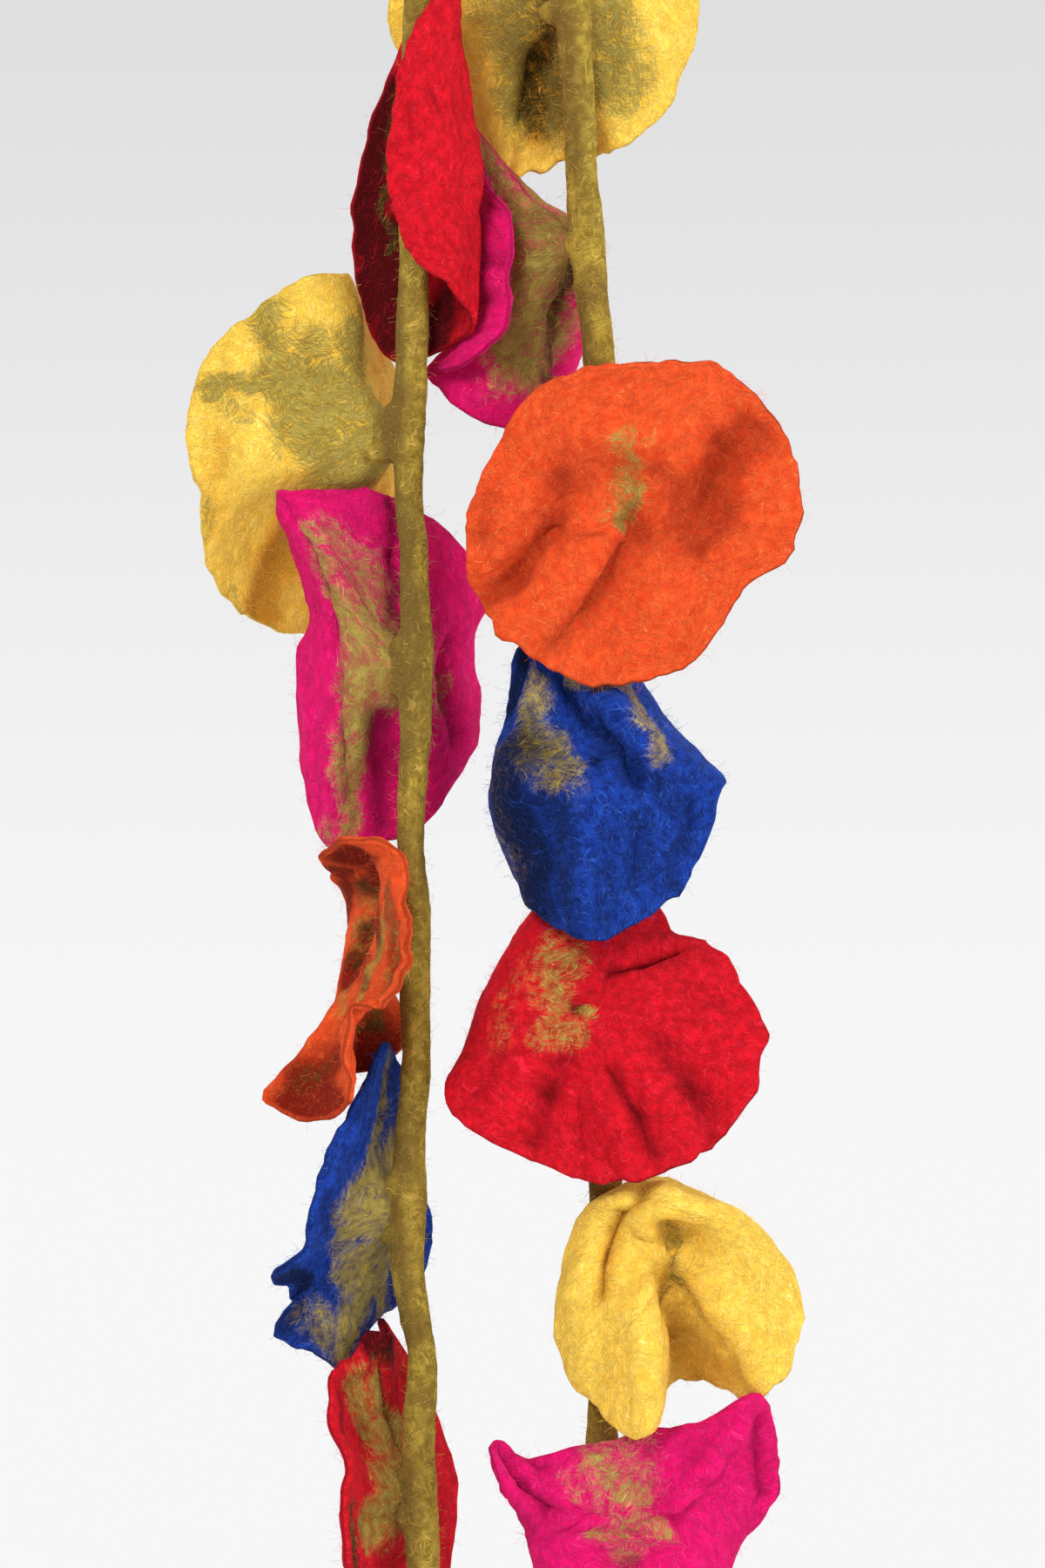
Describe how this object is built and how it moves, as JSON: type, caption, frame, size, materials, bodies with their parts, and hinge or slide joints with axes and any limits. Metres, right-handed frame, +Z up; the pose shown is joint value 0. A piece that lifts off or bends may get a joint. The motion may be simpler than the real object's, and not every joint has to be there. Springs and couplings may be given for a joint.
{
  "type": "felt flower garland",
  "caption": "Hand-felted garland hung doubled over one point, with felt flowers in several colours on short necks along both strands.",
  "frame": {"origin": "top of the loop, where the garland hangs on its hook or nail", "axes": "+Z up along the hanging strands, -Y towards the front as pictured, +X to the right"},
  "size_m": [0.1755, 0.1, 0.6056],
  "materials": {
    "felt_green": "matt, fibrous wool felt",
    "felt_red": "matt, fibrous wool felt",
    "felt_yellow": "matt, fibrous wool felt",
    "felt_pink": "matt, fibrous wool felt",
    "felt_orange": "matt, fibrous wool felt",
    "felt_blue": "matt, fibrous wool felt"
  },
  "bodies": {
    "root": {"stem": "felt_green", "flower_left_1_red": "felt_red", "flower_left_2_yellow": "felt_yellow", "flower_left_3_pink": "felt_pink", "flower_left_4_orange": "felt_orange", "flower_left_5_blue": "felt_blue", "flower_left_6_red": "felt_red", "flower_right_1_yellow": "felt_yellow", "flower_right_2_pink": "felt_pink", "flower_right_3_orange": "felt_orange", "flower_right_4_blue": "felt_blue", "flower_right_5_red": "felt_red", "flower_right_6_yellow": "felt_yellow", "flower_right_7_pink": "felt_pink"}
  },
  "joints": []
}
